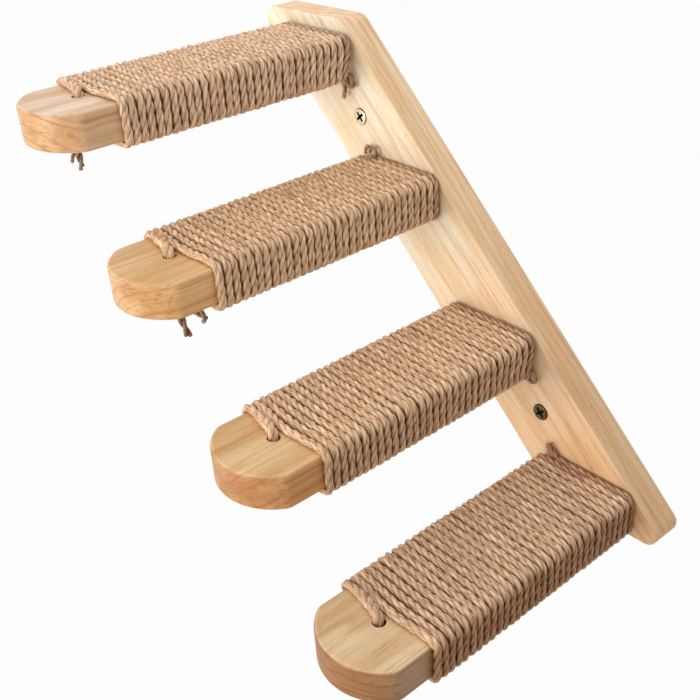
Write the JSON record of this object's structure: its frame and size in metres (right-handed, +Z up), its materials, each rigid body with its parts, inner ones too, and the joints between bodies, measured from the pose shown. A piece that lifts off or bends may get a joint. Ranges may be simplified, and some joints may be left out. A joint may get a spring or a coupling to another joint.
{
  "type": "cat wall stairs",
  "caption": "Slanted wooden board for a wall, carrying level treads with arched noses, wound with jute rope, as climbing steps for a cat; screwed to the wall through its face.",
  "frame": {"origin": "midway between the two wall screws, on the board's back face", "axes": "+Z up, +Y into the wall, +X to the right as one faces the wall; the treads stand out along -Y"},
  "size_m": [0.3778, 0.2763, 0.3245],
  "materials": {
    "rubberwood": "sanded and clear lacquered, satin",
    "jute_rope": "three-strand laid rope, natural, hairy",
    "antique_brass": "yellow passivated screw with a dulled head",
    "zinc_plated_steel": "bright zinc plating"
  },
  "bodies": {
    "root": {"wall_board": "rubberwood", "tread_1": "rubberwood", "rope_winding_1": "jute_rope", "rope_knot_1": "jute_rope", "tread_1_screw_left": "zinc_plated_steel", "tread_1_screw_right": "zinc_plated_steel", "tread_2": "rubberwood", "rope_winding_2": "jute_rope", "rope_knot_2": "jute_rope", "tread_2_screw_left": "zinc_plated_steel", "tread_2_screw_right": "zinc_plated_steel", "tread_3": "rubberwood", "rope_winding_3": "jute_rope", "rope_knot_3": "jute_rope", "tread_3_screw_left": "zinc_plated_steel", "tread_3_screw_right": "zinc_plated_steel", "tread_4": "rubberwood", "rope_winding_4": "jute_rope", "rope_knot_4": "jute_rope", "tread_4_screw_left": "zinc_plated_steel", "tread_4_screw_right": "zinc_plated_steel", "wall_screw_upper": "antique_brass", "wall_screw_lower": "antique_brass"}
  },
  "joints": []
}
